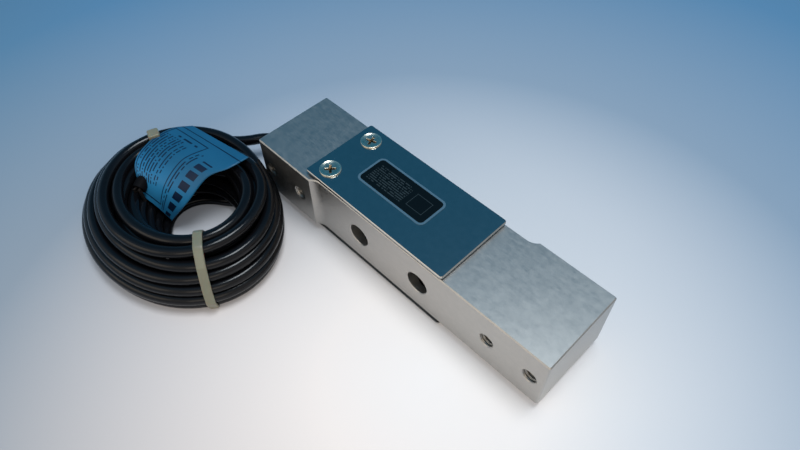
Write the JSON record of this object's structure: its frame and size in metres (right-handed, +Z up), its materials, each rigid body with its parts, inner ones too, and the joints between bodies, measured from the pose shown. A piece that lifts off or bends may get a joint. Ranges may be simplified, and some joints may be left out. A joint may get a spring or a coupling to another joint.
{
  "type": "single point load cell",
  "caption": "Bar-shaped single point load cell with stepped mounting ends, side covers over its measuring section and a coiled cable.",
  "frame": {"origin": "under the middle of the bar, on the surface that the lower cover's screw heads stand on", "axes": "+X along the bar from the cable end to the free end, +Y from the front face to the back face, +Z up through the covers"},
  "size_m": [0.2134, 0.1183, 0.0354],
  "materials": {
    "bar": "satin machined",
    "cover": "bright rolled sheet",
    "gasket": "matt",
    "screw": "nickel plated",
    "label": "printed film",
    "gauge": "foil on film",
    "coating": "clear silicone",
    "lead": "enamelled copper wire",
    "board": "solder mask",
    "adhesive": "silicone adhesive",
    "resistor": "chip resistor",
    "sealant": "poured sealant",
    "core": "core insulation",
    "cable": "black jacket",
    "grommet": "moulded",
    "tie": "natural nylon",
    "tag": "printed blue film",
    "sleeve": "shrunk tube"
  },
  "bodies": {
    "root": {"beam_body": "bar", "upper_cover": "cover", "lower_cover": "cover", "upper_gasket": "gasket", "lower_gasket": "gasket", "cover_screws": "screw", "rating_label": "label", "strain_gauges": "gauge", "gauge_coatings": "coating", "gauge_leads": "lead", "bridge_board": "board", "board_adhesive": "adhesive", "trim_resistors": "resistor", "board_sealant": "sealant", "cable_cores": "core", "cable_inner": "cable", "cable_grommet": "grommet", "cable_lead": "cable", "cable_coil": "cable", "front_tie": "tie", "rear_tie": "tie", "tag": "tag", "cable_end_sleeve": "sleeve", "cable_end_cores": "core"}
  },
  "joints": []
}
